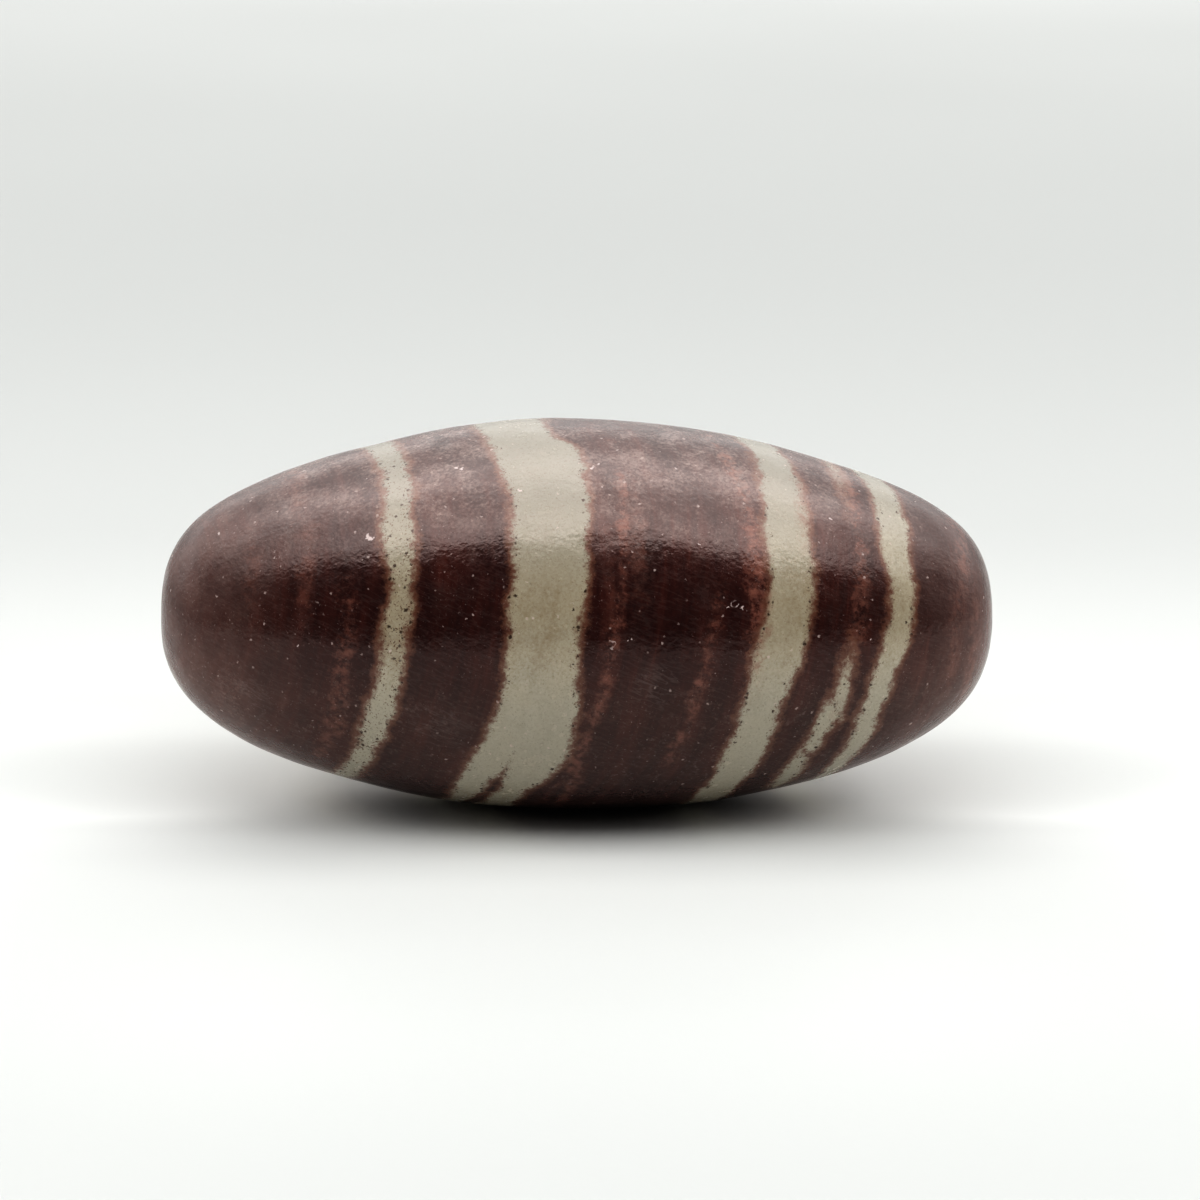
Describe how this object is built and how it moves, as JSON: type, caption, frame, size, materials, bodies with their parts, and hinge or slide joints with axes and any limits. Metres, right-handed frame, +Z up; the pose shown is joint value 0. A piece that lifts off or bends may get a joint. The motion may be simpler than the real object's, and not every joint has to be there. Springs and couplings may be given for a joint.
{
  "type": "river pebble",
  "caption": "Smooth blunt-ended ovoid river stone, dark red-brown with pale cream bands across it, lying on its long side on a small worn flat.",
  "frame": {"origin": "under the middle of the stone, on the surface it rests on", "axes": "+X along the stone's length, +Y from the front to the back, +Z up"},
  "size_m": [0.076, 0.0374, 0.0356],
  "materials": {
    "banded_stone": "satin water-polished stone: dark red-brown with pale grey-cream bands edged in rust, fine grain and pin pits"
  },
  "bodies": {
    "root": {"pebble": "banded_stone"}
  },
  "joints": []
}
